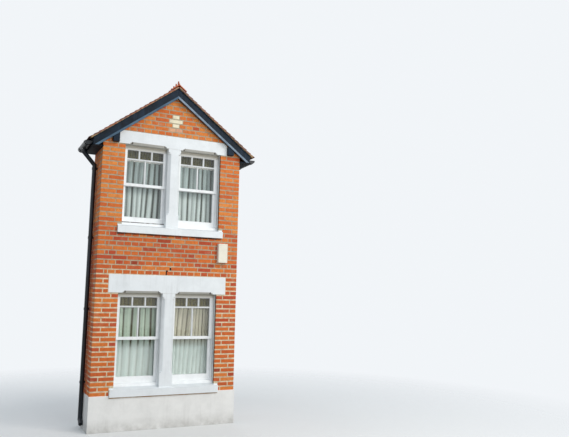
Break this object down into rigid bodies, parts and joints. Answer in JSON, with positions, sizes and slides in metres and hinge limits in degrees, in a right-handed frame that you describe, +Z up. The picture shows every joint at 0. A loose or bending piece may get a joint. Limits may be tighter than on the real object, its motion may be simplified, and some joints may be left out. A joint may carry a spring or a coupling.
{
  "type": "bay window",
  "caption": "Tall square brick bay with painted stone lintels, mullions and sills, sash windows on both floors and a gabled tile roof, open at the back where it joins a house wall.",
  "frame": {"origin": "on the ground, at the middle of the bay's width and of its whole depth", "axes": "+X to the right along the front, -Y out of the front, +Z up"},
  "size_m": [2.95, 0.828, 5.724],
  "materials": {
    "rendered_plinth": "white masonry paint on render, dirty at the foot",
    "brick": "orange red facing bricks with pale buff mortar, matt",
    "painted_stone": "white masonry paint, satin",
    "white_paint": "white gloss paint",
    "window_glass": "clear",
    "net_cloth": "open net",
    "olive_cloth": "plain weave",
    "rod_metal": "white enamel",
    "wall_plaster": "matt emulsion",
    "sawn_timber": "sawn softwood",
    "floor_boards": "planed softwood boards",
    "clay_tiles": "weathered plain clay tiles, matt",
    "ridge_clay": "terracotta, matt",
    "dark_paint": "dark blue black gloss paint",
    "black_iron": "black gloss paint",
    "cream_plastic": "moulded, satin"
  },
  "bodies": {
    "root": {"front_plinth": "rendered_plinth", "side_plinths": "rendered_plinth", "left_wall": "brick", "right_wall": "brick", "left_pier": "brick", "right_pier": "brick", "spandrel_wall": "brick", "gable_wall": "brick", "lower_lintel": "painted_stone", "upper_lintel": "painted_stone", "lower_mullion": "painted_stone", "upper_mullion": "painted_stone", "lower_sill": "painted_stone", "upper_sill": "painted_stone", "lower_frames": "white_paint", "upper_frames": "white_paint", "lower_sashes": "white_paint", "upper_sashes": "white_paint", "window_boards": "white_paint", "lower_glass": "window_glass", "upper_glass": "window_glass", "curtains": "net_cloth", "valances": "olive_cloth", "curtain_rods": "rod_metal", "plaster": "wall_plaster", "ceilings": "wall_plaster", "inner_lintels": "sawn_timber", "floor_joists": "sawn_timber", "wall_plates": "sawn_timber", "ceiling_joists": "sawn_timber", "rafters": "sawn_timber", "ridge_board": "sawn_timber", "roof_boards": "sawn_timber", "ground_floor": "floor_boards", "first_floor": "floor_boards", "left_tiles": "clay_tiles", "right_tiles": "clay_tiles", "ridge_tiles": "ridge_clay", "left_barge_board": "dark_paint", "right_barge_board": "dark_paint", "barge_blocks": "dark_paint", "eaves_boards": "dark_paint", "gutters": "black_iron", "rain_pipe": "black_iron", "alarm_box": "cream_plastic"}
  },
  "joints": []
}
